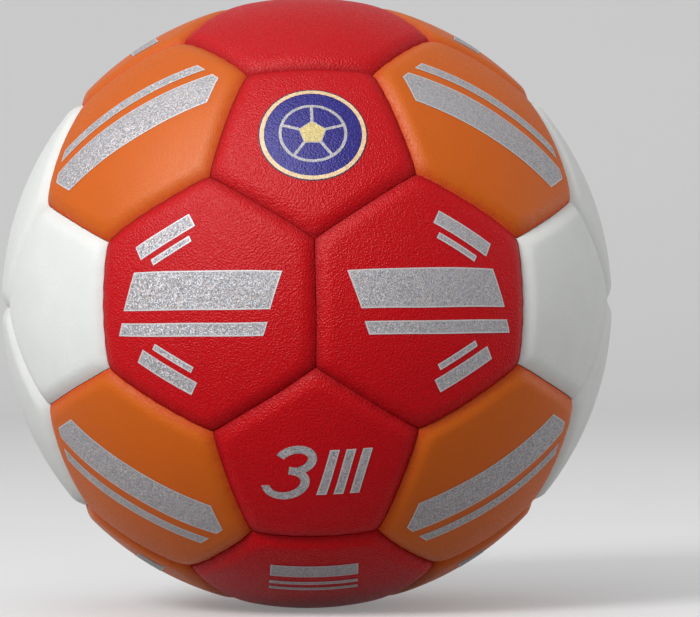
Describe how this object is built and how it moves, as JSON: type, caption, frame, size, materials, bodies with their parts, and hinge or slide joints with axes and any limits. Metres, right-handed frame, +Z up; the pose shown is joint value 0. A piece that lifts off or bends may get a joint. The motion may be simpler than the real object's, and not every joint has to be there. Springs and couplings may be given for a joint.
{
  "type": "handball",
  "caption": "Hand-sewn handball of pillowed hexagon and pentagon leather panels over an inflated bladder with a needle valve.",
  "frame": {"origin": "centre of the ball", "axes": "+Z up and -Y to the front as pictured; a vertical seam between two crimson hexagons crosses the front at -Y"},
  "size_m": [0.1876, 0.1876, 0.1876],
  "materials": {
    "leather_crimson": "fine pebbled grain, satin",
    "leather_orange": "nearly smooth, satin",
    "leather_white": "nearly smooth, satin",
    "foam": "closed-cell foam",
    "lining_cloth": "laminated cotton and polyester cloth",
    "waxed_thread": "waxed polyester thread",
    "bladder_rubber": "matt butyl rubber",
    "valve_rubber": "moulded rubber, satin"
  },
  "bodies": {
    "root": {"hexagon_cover_01": "leather_crimson", "hexagon_cover_02": "leather_crimson", "hexagon_cover_03": "leather_crimson", "hexagon_cover_04": "leather_orange", "hexagon_cover_05": "leather_orange", "hexagon_cover_06": "leather_crimson", "hexagon_cover_07": "leather_orange", "hexagon_cover_08": "leather_orange", "hexagon_cover_09": "leather_crimson", "hexagon_cover_10": "leather_crimson", "hexagon_cover_11": "leather_crimson", "hexagon_cover_12": "leather_orange", "hexagon_cover_13": "leather_orange", "hexagon_cover_14": "leather_crimson", "hexagon_cover_15": "leather_orange", "hexagon_cover_16": "leather_orange", "hexagon_cover_17": "leather_white", "hexagon_cover_18": "leather_white", "hexagon_cover_19": "leather_white", "hexagon_cover_20": "leather_white", "pentagon_cover_01": "leather_crimson", "pentagon_cover_02": "leather_crimson", "pentagon_cover_03": "leather_crimson", "pentagon_cover_04": "leather_crimson", "pentagon_cover_05": "leather_orange", "pentagon_cover_06": "leather_orange", "pentagon_cover_07": "leather_orange", "pentagon_cover_08": "leather_orange", "pentagon_cover_09": "leather_white", "pentagon_cover_10": "leather_white", "pentagon_cover_11": "leather_white", "pentagon_cover_12": "leather_white", "hexagon_foams": "foam", "pentagon_foams": "foam", "hexagon_linings": "lining_cloth", "pentagon_linings": "lining_cloth", "hexagon_seam_threads": "waxed_thread", "pentagon_seam_threads": "waxed_thread", "bladder": "bladder_rubber", "balance_patch": "bladder_rubber", "valve_ring": "lining_cloth", "valve_body": "valve_rubber", "valve_core": "valve_rubber"}
  },
  "joints": []
}
